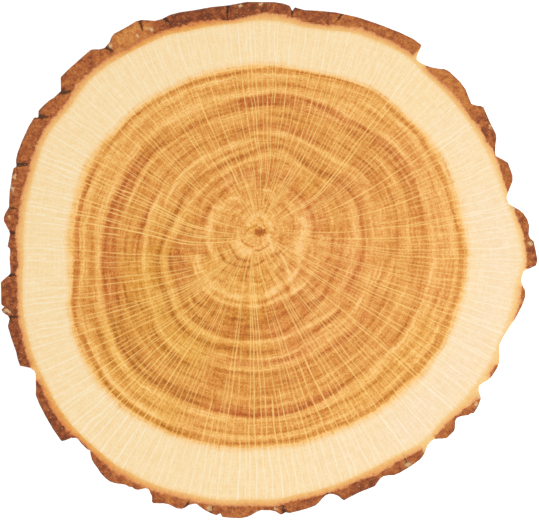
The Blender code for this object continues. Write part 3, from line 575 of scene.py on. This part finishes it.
def sawn_wood(rings, height):
    """A sawn face of the wood as rows of points, ring by ring, with where each point grew."""
    rings = np.array([0, *rings])
    # The middle point has no direction of its own, so it takes those of the first ring.
    turns = ray_turns(np.maximum(rings, rings[1]))
    rings = np.repeat(rings[:, None], SPOKES, 1)
    radii = ring_radius(tree_rings(), rings, turns)
    x, y = PITH[0] + radii * np.cos(turns), PITH[1] + radii * np.sin(turns)
    points = closed_round(np.stack([x, y, np.full(x.shape, height)], -1))
    share = np.repeat(np.linspace(0, 1, SPOKES + 1)[None], len(rings), 0)
    tone = DEEPEST_SHIFT * np.tanh(strokes_at(STROKES, turns, rings) / DEEPEST_SHIFT)
    marks = closed_round(np.stack([tone, strokes_at(HUES_AND_PAINTED_LIGHT, turns, rings), 0 * tone], -1))
    return points, np.stack([share, closed_round(rings)], -1), marks


def wood_sheets():
    """The two sawn faces and the wall that the bark grew on, and the line round the cambium."""
    points, grain, marks = sawn_wood(UPPER_RINGS, THICKNESS)
    picture = 0.5 + (points[..., :2] - TRUNK_MIDDLE) * FACE_SCALE
    sheets = [(points, grain, picture, marks, 0, True)]

    way = picture[-1] - 0.5
    way /= np.linalg.norm(way, axis=1)[:, None]
    wall = np.concatenate([points[-1:], points[-1:] * (1, 1, 0)])
    band = np.stack([0.5 + way * reach for reach in WALL_BAND])
    sheets.append((wall, np.repeat(grain[-1:], 2, 0), band, np.repeat(marks[-1:], 2, 0), 0, True))
    cambium = points[-1, :-1, 0], points[-1, :-1, 1]

    points, grain, marks = sawn_wood(UNDER_RINGS, 0)
    for number in range(4):
        part = quarter_of(number, SPOKES)
        ahead = math.radians(90 * number)
        x, y = points[:, part, 0] - PITH[0], points[:, part, 1] - PITH[1]
        along = x * math.cos(ahead) + y * math.sin(ahead)
        across = y * math.cos(ahead) - x * math.sin(ahead)
        corner = CORNER_MARGIN + CORNER_SCALE * np.stack([along - along.min(),
                                                          across - across.min()], -1)
        if number in (1, 2):
            corner[..., 0] = 1 - corner[..., 0]
        if number in (2, 3):
            corner[..., 1] = 1 - corner[..., 1]
        shifted = grain[:, part] + (UNDERSIDE_SHIFT, 0)
        sheets.append((points[:, part], shifted, corner, marks[:, part], 0, False))
    return sheets, cambium


# ---- the bark ----

def sawn_outline(node):
    """Rays from the trunk's middle, to read how far the bark of the frame's solid reaches."""
    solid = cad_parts[node]
    corners = [solid.matrix_world @ corner.co for corner in solid.data.vertices]
    tree = BVHTree.FromPolygons(corners, [list(face.vertices) for face in solid.data.polygons])

    def reach(turn, height):
        # A ray that runs in the plane of a cut could miss the solid.
        height = min(max(height, 0.02), THICKNESS - 0.02)
        start = Vector((*TRUNK_MIDDLE, height)) * MM
        return tree.ray_cast(start, Vector((math.cos(turn), math.sin(turn), 0)))[3] / MM
    return reach


def bark_relief(turn, height):
    """How deep the fine cracks and flakes of the bark cut in, in mm."""
    x, y = BARK_RADIUS * math.cos(turn), BARK_RADIUS * math.sin(turn)
    bend = noise.noise(Vector((x / 14, y / 14, height / 11))) * 5
    # Plates about 9 mm wide and 20 mm tall, parted by cracks
    near, far = noise.voronoi(Vector((x / 9, y / 9, (height + bend) / 20)))[0][:2]
    crack = max(0, 1 - (far - near) / 0.16) ** 1.3
    flakes = noise.noise(Vector((x / 2.6, y / 2.6, (height + bend) / 7)))
    grit = noise.noise(Vector((x / 0.9, y / 0.9, height / 1.4)))
    return 1.25 * crack + 0.55 * (0.5 - flakes) + 0.22 * (0.5 - grit)


def bark_marks(turns, radii, outer):
    """How much of a crack each point lies in, and of a pale flake, and the bark's tone there."""
    def across(degrees):
        """How far a point lies to either side of this direction, in mm."""
        return np.abs((turns - np.radians(degrees) + math.pi) % TURN - math.pi) * BARK_RADIUS

    crack, flake = np.zeros(turns.shape), np.zeros(turns.shape)
    inward = (outer - radii) / 8  # as a share of the bark's usual thickness in mm
    # Cracks taper inwards, and flakes are a little longer round the trunk than through the bark.
    for degrees, width, depth, lean in BARK_CRACKS:
        tapered = width * np.clip(1.15 - inward / (depth * 1.1), 0, 1)
        off = across(degrees + lean * (inward - 0.3)) / np.maximum(tapered, 0.01)
        crack = np.maximum(crack, np.clip(1.4 - off, 0, 1) * (inward < depth * 1.2))
    for degrees, depth, size in PALE_FLAKES:
        along = (outer - radii - depth) * 1.3
        flake = np.maximum(flake, np.exp(-(across(degrees) ** 2 + along ** 2) / size ** 2))
    return np.stack([crack, flake, at(line(BARK_TONES), turns)], -1)


def bark_sheets(cambium):
    """The bark's side, its two cuts, and the inner wall that lies on the wood."""
    turns = np.linspace(0, TURN, BARK_COLUMNS, endpoint=False)
    heights = np.linspace(THICKNESS, 0, BARK_ROWS + 1)
    inner = at(seen_from(TRUNK_MIDDLE, *cambium), turns)
    reach = sawn_outline("wood_slice")
    solid = np.array([[reach(turn, height) for turn in turns] for height in heights])
    relief = np.array([[bark_relief(turn, height) for turn in turns] for height in heights])
    # The cuts run straight through the bark, so the relief starts a little way from them.
    start = np.clip(np.minimum(heights, THICKNESS - heights) / RELIEF_START, 0, 1)[:, None]
    room = np.clip((solid - inner - 0.5) / 4, 0, 1)  # thin bark has less relief
    radii = np.maximum(solid - relief * start * room, inner + LEAST_BARK)
    # How far each point lies in from the furthest reach within 3 degrees either way
    sunk = np.max([np.roll(solid, shift, 1) for shift in range(-12, 13)], 0) - radii

    turns = closed_round(np.repeat(turns[None], BARK_ROWS + 1, 0))
    turns[:, -1] += TURN
    inner, radii, sunk = closed_round(inner[None]), closed_round(radii), closed_round(sunk)

    def place(radius, turn, height):
        x, y = TRUNK_MIDDLE[0] + radius * np.cos(turn), TRUNK_MIDDLE[1] + radius * np.sin(turn)
        return np.stack([x, y, np.broadcast_to(height, radius.shape)], -1)

    def sawn(rows, outer, height):
        """Rows from the cambium out to the edge of a cut, with the layer that each point is in."""
        share = np.linspace(0, 1, rows + 1)[:, None]
        turn = np.repeat(turns[:1], rows + 1, 0)
        radius = inner + (outer - inner) * share
        boundary = at(line(INNER_BARK), turn)
        layer = np.where(radius < boundary, (radius - inner) / (boundary - inner),
                         1 + (radius - boundary) / np.maximum(outer - boundary, 0.3))
        marks = bark_marks(turn, radius, np.repeat(outer, rows + 1, 0))
        return place(radius, turn, height), np.stack([turn / TURN, layer], -1), marks, share

    side = (place(radii, turns, heights[:, None]), np.stack([turns / TURN, sunk], -1),
            bark_marks(turns, radii, radii), 1 - heights[:, None] / THICKNESS)
    ends = np.array([[0], [THICKNESS]])
    wall = (place(np.repeat(inner, 2, 0), turns[:2], ends),
            np.stack([turns[:2] / TURN, 0 * turns[:2]], -1), np.zeros((2, BARK_COLUMNS + 1, 3)),
            ends / THICKNESS)

    sheets, foot = [], STRIP_GAP
    for (points, grain, marks, rise), tall, material, flipped in (
            (side, SIDE_STRIP, WEATHERED, True),
            (sawn(SAWN_ROWS, radii[:1], THICKNESS), UPPER_STRIP, SAWN, True),
            (sawn(UNDERSIDE_ROWS, radii[-1:], 0), UNDER_STRIP, SAWN, False),
            (wall, WALL_STRIP, SAWN, True)):
        for number in range(4):
            part = quarter_of(number, BARK_COLUMNS)
            along = np.linspace(*STRIP_ENDS, BARK_COLUMNS // 4 + 1)
            picture = np.stack(np.broadcast_arrays(along, foot + rise * tall), -1)
            sheets.append((points[:, part], grain[:, part], picture, marks[:, part], material,
                           flipped))
            foot += tall + STRIP_GAP
    return sheets


# ---- materials ----

# A node that mixes colours takes the share at its input 0 and the two colours at 6 and 7, and
# gives the mixed colour at its output 2.
MIXED = {"data_type": "RGBA", "give": 2}


def linear(hex_colour):
    """An sRGB hex colour as the linear red, green, blue and alpha that the nodes take."""
    parts = [int(hex_colour[i:i + 2], 16) / 255 for i in (1, 3, 5)]
    return [p / 12.92 if p <= 0.04045 else ((p + 0.055) / 1.055) ** 2.4 for p in parts] + [1.0]


def add(tree, kind, inputs=(), stops=(), give=0, **settings):
    """Adds a node of this kind with its settings, and gives back this one of its outputs.

    Its inputs are values, hex colours or links, in order or by name. Stops are a colour ramp's:
    (place, colour).
    """
    node = tree.nodes.new("ShaderNode" + kind)
    for name, value in settings.items():
        setattr(node, name, value)
    for name, value in inputs.items() if isinstance(inputs, dict) else enumerate(inputs):
        if isinstance(value, bpy.types.NodeSocket):
            tree.links.new(value, node.inputs[name])
        else:
            node.inputs[name].default_value = linear(value) if isinstance(value, str) else value
    for number, (place, colour) in enumerate(stops):
        steps = node.color_ramp.elements
        step = steps[number] if number < len(steps) else steps.new(place)
        step.position = place
        step.color = linear(colour) if isinstance(colour, str) else (colour, colour, colour, 1)
    return node.outputs[give] if node.outputs else None


def blank(name):
    material = bpy.data.materials.new(name)
    material.use_nodes = True
    material.node_tree.nodes.clear()
    return material, material.node_tree


def finish(tree, colour, roughness, height, depth, specular):
    """The surface itself, with a relief of this depth in mm."""
    bump = add(tree, "Bump", {"Height": height, "Strength": 1, "Distance": depth * MM})
    surface = add(tree, "BsdfPrincipled", {"Base Color": colour, "Roughness": roughness,
                                          "Normal": bump, "Specular IOR Level": specular})
    add(tree, "OutputMaterial", [surface])


def grain_map(tree):
    """Where a point grew: its share of a turn, then its ring, layer or depth in mm."""
    return add(tree, "SeparateXYZ", [add(tree, "UVMap", uv_map="grain")]).node.outputs[:2]


def marks_map(tree):
    marks = add(tree, "Attribute", attribute_name="marks", give="Vector")
    return add(tree, "SeparateXYZ", [marks]).node.outputs


def on_trunk(tree, turn, ring):
    """A place on a cylinder round the trunk, where what is read comes back to its start."""
    angle = add(tree, "Math", (turn, TURN), operation="MULTIPLY")
    x = add(tree, "Math", [angle], operation="COSINE")
    y = add(tree, "Math", [angle], operation="SINE")
    return add(tree, "CombineXYZ", (x, y, ring))


def in_mm(tree):
    """The place of a point in the slice, in mm."""
    place = add(tree, "TexCoord", give="Object")
    return add(tree, "VectorMath", (place, (1 / MM,) * 3), operation="MULTIPLY")


def mottled(tree, place, scale, low, high, detail=1, roughness=0.5, usual=(0.3, 0.7), clamp=True):
    """Soft random mottling, with its usual range stretched to this one.

    The scale is in patches: to a radian round the trunk and to a millimetre of its rings, or to a
    millimetre each way.
    """
    place = add(tree, "VectorMath", (place, scale), operation="MULTIPLY")
    patches = add(tree, "TexNoise", {"Vector": place, "Scale": 1, "Detail": detail,
                                     "Roughness": roughness})
    return add(tree, "MapRange", (patches, *usual, low, high), clamp=clamp)


def uneven(tree, place, across, along, much, detail=1):
    """Mottling by this much either way: so many patches to a radian, each so many mm long."""
    scale = across, across, 1 / along
    return mottled(tree, place, scale, -much, much, detail, clamp=False)


def two_tones(tree, value, places, share, *rows):
    """The colour at this value in the first of two rows, mixed by this share with the second."""
    first, second = (add(tree, "ValToRGB", [value], stops=zip(places, row)) for row in rows)
    return add(tree, "Mix", {0: share, 6: first, 7: second}, **MIXED)


def ring_tones(tree, ring):
    """The dark and light bands, ring by ring: a smooth curve through the tones."""
    along = add(tree, "Math", (ring, FURTHEST_RING), operation="DIVIDE")
    tone = add(tree, "FloatCurve", {"Value": along})
    mapping = tone.node.mapping
    mapping.use_clip = False
    points = mapping.curves[0].points
    for number, (place, level) in enumerate(RING_TONES.items()):
        spot = place / FURTHEST_RING, (level - LOWEST_TONE) / TONE_SPAN
        if number < 2:
            points[number].location = spot
        else:
            points.new(*spot)
    for point in points:
        point.handle_type = "AUTO_CLAMPED"
    mapping.update()
    return tone


def wood_rays(tree, turn, ring, around, edge):
    """How much of a ray each point lies in: lines about half a millimetre wide, one to a lane."""
    bend = uneven(tree, around, 14, 20, 0.18)
    lane = add(tree, "Math", (turn, RAY_LANES, bend), operation="MULTIPLY_ADD")
    lanes = add(tree, "TexVoronoi", {"W": lane, "Scale": 1, "Randomness": 0.66},
                voronoi_dimensions="1D").node.outputs
    lane_width = add(tree, "Math", (ring, TURN / RAY_LANES), operation="MULTIPLY")
    off = add(tree, "Math", (lanes["Distance"], lane_width), operation="MULTIPLY")
    wide = add(tree, "MapRange", (ring, 10, 50, 0.34, 0.48))
    ray = add(tree, "MapRange", (off, 0.06, wide, 1, 0), interpolation_type="SMOOTHSTEP")
    # Each starts at a ring of its own, and is stronger or fainter than the next.
    each = add(tree, "SeparateColor", [lanes["Color"]]).node.outputs
    first = add(tree, "MapRange", (each[0], 0, 1, -14, 92))
    first = add(tree, "Math", (first, 9), operation="MAXIMUM")
    begun = add(tree, "Math", (ring, first), operation="SUBTRACT")
    begun = add(tree, "MapRange", (begun, 0, 4))
    strong = add(tree, "MapRange", (each[1], 0, 1, 0.3, 1.1))
    broken = mottled(tree, around, (160, 160, 1 / 7), 0.45, 1, usual=(0.3, 0.6))
    faint = add(tree, "MapRange", (edge, 0, 1, 0.85, 0.78))
    for share in (begun, strong, broken, faint):
        ray = add(tree, "Math", (ray, share), operation="MULTIPLY")
    return ray


def sanded_oak_end_grain():
    """Oak sawn across and sanded: dull, with dark and light rings, and pale rays across them."""
    material, tree = blank("sanded oak end grain")
    turn, ring = grain_map(tree)
    stroke, hue_and_painted_light, _ = marks_map(tree)
    around = on_trunk(tree, turn, ring)

    # Rings waver by half a millimetre over each 15 mm or so of their way round. Their edges are
    # ragged from thread to thread, by a third of a millimetre.
    waver = uneven(tree, around, 9, 12, 0.5, detail=2)
    ragged = uneven(tree, around, 70, 8, 0.33)
    wavy = add(tree, "Math", (ring, add(tree, "Math", (waver, ragged))))

    # Lines of pores within each year, 1.1 mm and 2.3 mm apart, long round the trunk.
    along_rings = on_trunk(tree, turn, wavy)
    stripes = uneven(tree, along_rings, 4.5, 0.62, 0.19)
    years = uneven(tree, along_rings, 3.2, 1.5, 0.13)
    arcs = add(tree, "Math", (stripes, years))
    # Some stretches of every band are darker than others, over 10 to 30 mm.
    patches = uneven(tree, around, 5.5, 9, 0.07, detail=2)
    # Fine threads along the rays, a bit over a millimetre apart. There are more of them near the
    # bark, so that they lie no further apart there than near the pith.
    inner_threads = uneven(tree, around, 34, 6, 0.23)
    outer_threads = uneven(tree, around, 100, 6, 0.17)
    further = add(tree, "MapRange", (ring, 28, 60), interpolation_type="SMOOTHSTEP")
    threads = add(tree, "Mix", {"Factor": further, "A": inner_threads, "B": outer_threads})
    # Pores about half a millimetre wide
    pores = mottled(tree, in_mm(tree), (1.5, 1.5, 1.5), -0.22, 0.22, clamp=False)
    speckle = add(tree, "Math", (threads, pores))

    # Heartwood: amber brown, reddish in some stretches and golden in others. Its broadest reddish
    # and golden stretches are painted light: less golden on the right, where the window light
    # falls, and more golden on the left.
    tone = ring_tones(tree, wavy)
    for part in (arcs, speckle, patches, stroke):
        tone = add(tree, "Math", (part, 1 / TONE_SPAN, tone), operation="MULTIPLY_ADD")
    golden = add(tree, "MapRange", (hue_and_painted_light, -1.2, 1.6))
    heartwood = two_tones(tree, tone, (0, 0.14, 0.32, 0.5, 0.68, 0.85, 1), golden, (
        "#b65c26", "#c56d2f", "#d68240", "#e3964e", "#eeaa60", "#f8bd73", "#fdcc8c"), (
        "#ab611a", "#bd7720", "#d28d2f", "#e2a03f", "#eeb254", "#f9c46a", "#fed288"))

    # Sapwood: nearly even cream or white, a little deeper along threads and in faint arcs. Its
    # youngest millimetre or two turns amber towards the bark.
    pale = add(tree, "Math", (speckle, 0.8, 0.5), operation="MULTIPLY_ADD")
    pale = add(tree, "Math", (arcs, 0.32, pale), operation="MULTIPLY_ADD")
    # Where the hue is above nought the sapwood is whiter; on the right this is painted light from
    # the window.
    sapwood = two_tones(tree, pale, (0, 0.35, 0.65, 1), hue_and_painted_light, (
        "#f5d396", "#fadaa4", "#fde3b4", "#ffeeca"), (
        "#f3d4a3", "#f8dbb1", "#fce4c1", "#ffefd5"))
    youngest = add(tree, "Math", (threads, 3, ring), operation="MULTIPLY_ADD")
    youngest = add(tree, "MapRange", (youngest, 121.4, 123.2, 0, 0.65))
    sapwood = add(tree, "Mix", {0: youngest, 6: sapwood, 7: "#f8c57a"}, **MIXED)
    edge = add(tree, "Math", (threads, 0.8, wavy), operation="MULTIPLY_ADD")
    edge = add(tree, "MapRange", (edge, 96.9, 101.2), interpolation_type="SMOOTHSTEP")

    # The pith: a small dark brown star.
    star = mottled(tree, around, (2.2, 2.2, 1 / 3), 0.7, 3, detail=3)
    star = add(tree, "Math", (ring, star), operation="DIVIDE")
    star = add(tree, "Math", (pores, 1.6, star), operation="MULTIPLY_ADD")
    pith = add(tree, "MapRange", (star, 0.3, 1.15, 0.85, 0), interpolation_type="SMOOTHSTEP")

    ray = wood_rays(tree, turn, ring, around, edge)
    ray_colour = add(tree, "Mix", {0: edge, 6: "#ffd582", 7: "#fff2d8"}, **MIXED)
    wood = heartwood
    for share, over in (edge, sapwood), (ray, ray_colour), (pith, "#ad5c20"):
        wood = add(tree, "Mix", {0: share, 6: wood, 7: over}, **MIXED)
    # Sanding leaves the rays a hair proud of the softer wood between them.
    finish(tree, wood, 0.6, add(tree, "Math", (ray, speckle)), 0.02, 0.15)
    return material


def sawn_bark():
    """Bark sawn across: fibrous and dull, orange within and red-brown without."""
    material, tree = blank("sawn oak bark")
    turn, layer = grain_map(tree)
    crack_here, flake_here, bark_tone = marks_map(tree)
    spots = in_mm(tree)

    ragged = mottled(tree, spots, (0.45,) * 3, -0.16, 0.16, detail=3, roughness=0.6)
    torn = add(tree, "Math", (layer, ragged))
    # Fibres half a millimetre wide give the inner bark a fine grain.
    fibres = mottled(tree, spots, (1.3,) * 3, -0.2, 0.2, detail=2, roughness=0.7)
    # Inner bark: amber where it leaves the sapwood and orange without, over 2 to 5 mm. It is paler
    # to the right (before 60 and after 320 degrees) and redder near 108 and 220.
    lighter = add(tree, "ValToRGB", [turn], stops=LIGHTER_INNER_BARK.items())
    depth = add(tree, "Math", (torn, fibres))
    inner = two_tones(tree, depth, (0, 0.2, 0.5, 0.85, 1), lighter, (
        "#f1be6e", "#edaa54", "#e89646", "#d37d43", "#b46038"), (
        "#fad89a", "#f9d190", "#f9cc86", "#f6b778", "#da9058"))

    # Outer bark: grains of cork about 2 mm across in red-brown and tan.
    cork = mottled(tree, spots, (0.33,) * 3, -0.28, 0.28, detail=4, roughness=0.65)
    tone = add(tree, "Math", (bark_tone, add(tree, "Math", (cork, fibres))))
    outer = add(tree, "ValToRGB", [tone], stops=zip((0, 0.2, 0.45, 0.7, 1), (
        "#763c22", "#984e2b", "#b86936", "#cc7e3e", "#e09c52")))
    out = add(tree, "MapRange", (torn, 0.94, 1.08), interpolation_type="SMOOTHSTEP")

    # The thin dark line along the outer edge of the cut is partly the weathered outside and partly
    # painted shade along the rim, and cracks are darker still. Specks of pale fibre and dark cork
    # are half a millimetre across.
    skin = add(tree, "MapRange", (torn, 1.86, 2.02, 0, 0.5), interpolation_type="SMOOTHSTEP")
    crumb = mottled(tree, spots, (0.64,) * 3, -0.45, 0.45, detail=3)
    crack = add(tree, "Math", (crack_here, crumb))
    crack = add(tree, "MapRange", (crack, 0.35, 0.8, 0, 0.85))
    flake = add(tree, "Math", (flake_here, crumb))
    flake = add(tree, "MapRange", (flake, 0.42, 0.75, 0, 0.8))
    pale_specks = mottled(tree, spots, (1.1,) * 3, 0, 0.5, usual=(0.64, 0.76))
    dark_specks = mottled(tree, spots, (1.1,) * 3, 0, 0.5, usual=(0.4, 0.28))
    # Only the outer bark has cracks and specks.
    outer_crack, pale_specks, dark_specks = (
        add(tree, "Math", (share, out), operation="MULTIPLY")
        for share in (crack, pale_specks, dark_specks))
    bark = inner
    for share, over in ((out, outer), (skin, "#6b4a35"), (outer_crack, "#3a2418"),
                        (flake, "#e3bf8c"), (pale_specks, "#e3ac70"), (dark_specks, "#5d3421")):
        bark = add(tree, "Mix", {0: share, 6: bark, 7: over}, **MIXED)
    relief = add(tree, "Math", (cork, crack), operation="SUBTRACT")
    finish(tree, bark, 0.75, relief, 0.3, 0.2)
    return material


def weathered_bark():
    """Old oak bark: dry grey-brown ridges and dark furrows, with specks of lichen."""
    material, tree = blank("weathered oak bark")
    sunk = grain_map(tree)[1]
    spots = in_mm(tree)
    # Flakes are longer up the trunk than round it.
    flakes = mottled(tree, spots, (0.26, 0.26, 0.104), 0, 1, detail=5, roughness=0.65, usual=(0, 1))
    grit = mottled(tree, spots, (0.9,) * 3, 0, 1, detail=3, roughness=0.6, usual=(0, 1))
    worn = add(tree, "MapRange", (flakes, 0.3, 0.7, -1.6, 1.6))
    depth = add(tree, "MapRange", (add(tree, "Math", (sunk, worn)), -0.5, 5))
    bark = add(tree, "ValToRGB", [depth], stops=(
        (0, "#a3907a"), (0.18, "#8c7460"), (0.38, "#74553f"), (0.62, "#57392a"), (1, "#33211a")))
    # Where a flake has lately come off, the bark under it is red-brown.
    fresh = mottled(tree, spots, (0.095, 0.095, 0.038), 0, 0.6, detail=3, usual=(0.55, 0.66))
    lichen = mottled(tree, spots, (0.14,) * 3, 0, 0.55, detail=5, roughness=0.7, usual=(0.6, 0.68))
    for share, over in (fresh, "#8a5138"), (lichen, "#9c9a7c"):
        bark = add(tree, "Mix", {0: share, 6: bark, 7: over}, **MIXED)
    dust = add(tree, "MapRange", (grit, 0.3, 0.7, 0.72, 1.25))
    bark = add(tree, "VectorMath", {0: bark, "Scale": dust}, operation="SCALE")
    finish(tree, bark, 0.85, add(tree, "Math", (flakes, grit)), 1.2, 0.15)
    return material


def white_table():
    """White acrylic sheet, lit a little from beneath, so that it stays white around the slice."""
    material, tree = blank("white acrylic")
    surface = add(tree, "BsdfPrincipled", {
        "Base Color": "#fafafa", "Roughness": 0.6, "Specular IOR Level": 0.2,
        "Emission Color": "#ffffff", "Emission Strength": 0.62})
    add(tree, "OutputMaterial", [surface])
    return material


# ---- table, light and camera ----

def table():
    bpy.ops.mesh.primitive_plane_add(size=8, location=(0, 0, 0))
    sheet = bpy.context.active_object
    sheet.name = "table"
    sheet.data.materials.append(white_table())


def light_and_camera():
    scene = bpy.context.scene
    scene.view_settings.view_transform = "Standard"
    scene.view_settings.look = "None"
    scene.world = bpy.data.worlds.new("white room")
    scene.world.use_nodes = True
    room = scene.world.node_tree.nodes["Background"]
    room.inputs["Color"].default_value = linear("#ffffff")
    room.inputs["Strength"].default_value = 0.765
    # A soft window to the right, a little over a metre off: that side is about 5% lighter.
    lamp = bpy.data.lights.new("window light", "AREA")
    lamp.shape = "SQUARE"
    lamp.size = 0.6
    lamp.energy = 4.4
    window = bpy.data.objects.new("window light", lamp)
    window.location = (0.62, -0.22, 1.1)
    window.rotation_euler = (-window.location).to_track_quat("-Z", "Y").to_euler()
    scene.collection.objects.link(window)

    # Straight above the middle, far enough off that only the sawn face shows.
    lens = bpy.data.cameras.new("camera")
    lens.lens = 120
    lens.sensor_width = 36
    rise = VIEW_WIDTH * lens.lens / lens.sensor_width
    camera = bpy.data.objects.new("camera", lens)
    camera.location = Vector((*TRUNK_MIDDLE, THICKNESS + rise)) * MM
    scene.collection.objects.link(camera)
    scene.camera = camera


# ---- the slice ----

sheets, cambium = wood_sheets()
wood = closed_mesh("wood", sheets, [sanded_oak_end_grain()])
bark = closed_mesh("bark", bark_sheets(cambium), [sawn_bark(), weathered_bark()])
for piece in (wood, bark):
    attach(piece, "root")
    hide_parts("wood_slice")

table()
light_and_camera()
